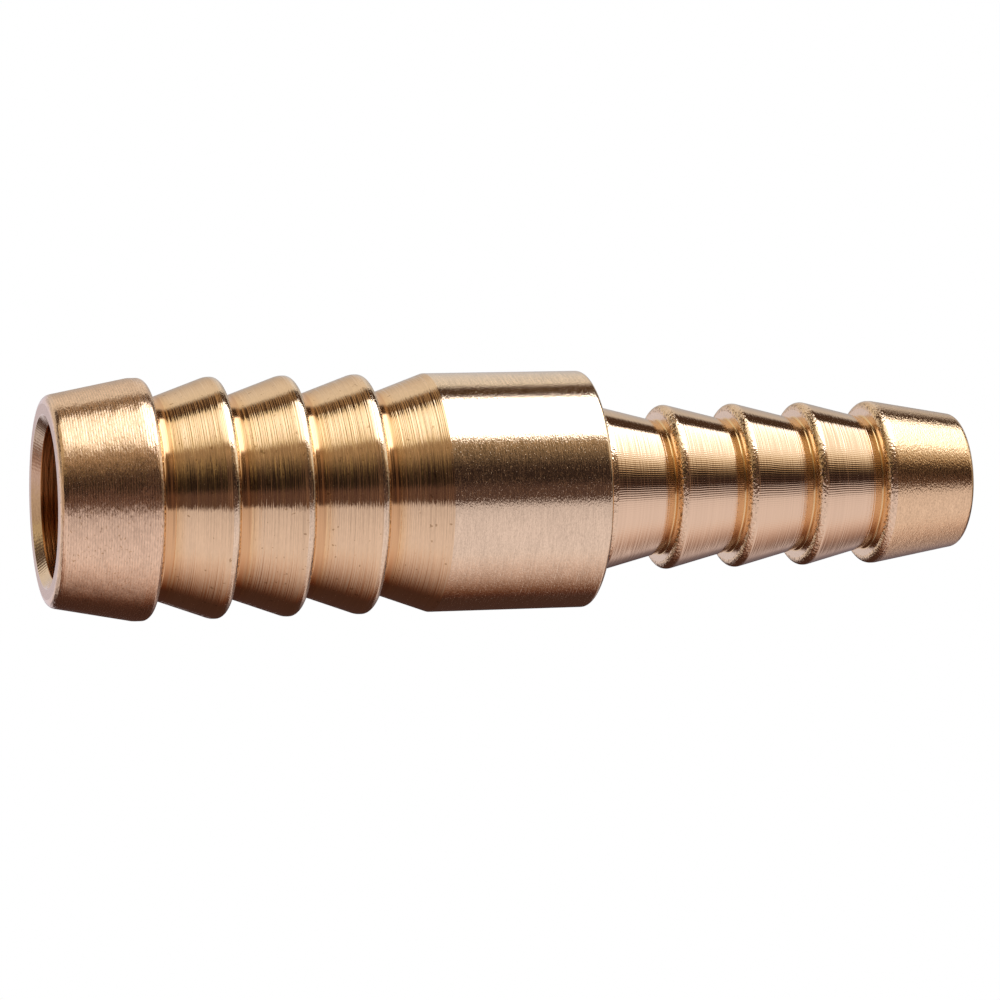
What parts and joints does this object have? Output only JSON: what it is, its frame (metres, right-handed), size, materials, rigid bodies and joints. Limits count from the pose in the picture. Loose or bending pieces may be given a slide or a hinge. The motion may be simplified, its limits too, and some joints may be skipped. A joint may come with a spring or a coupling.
{
  "type": "hose barb reducer",
  "caption": "Straight turned fitting that joins hoses of different bore: a barbed stem at each end of a plain round body, with a shoulder beside the smaller stem and a stepped bore through it.",
  "frame": {"origin": "centre of the large end face, on which the part stands", "axes": "+Z along the bore from the large end to the small end; the part is round, so +X and +Y are free"},
  "size_m": [0.0112, 0.0112, 0.044],
  "materials": {
    "turned_brass": "bright turned brass: fine turned rings and chatter lines on the barbs, grainy drawn skin on the body and crests"
  },
  "bodies": {
    "root": {"reducer_body": "turned_brass"}
  },
  "joints": []
}
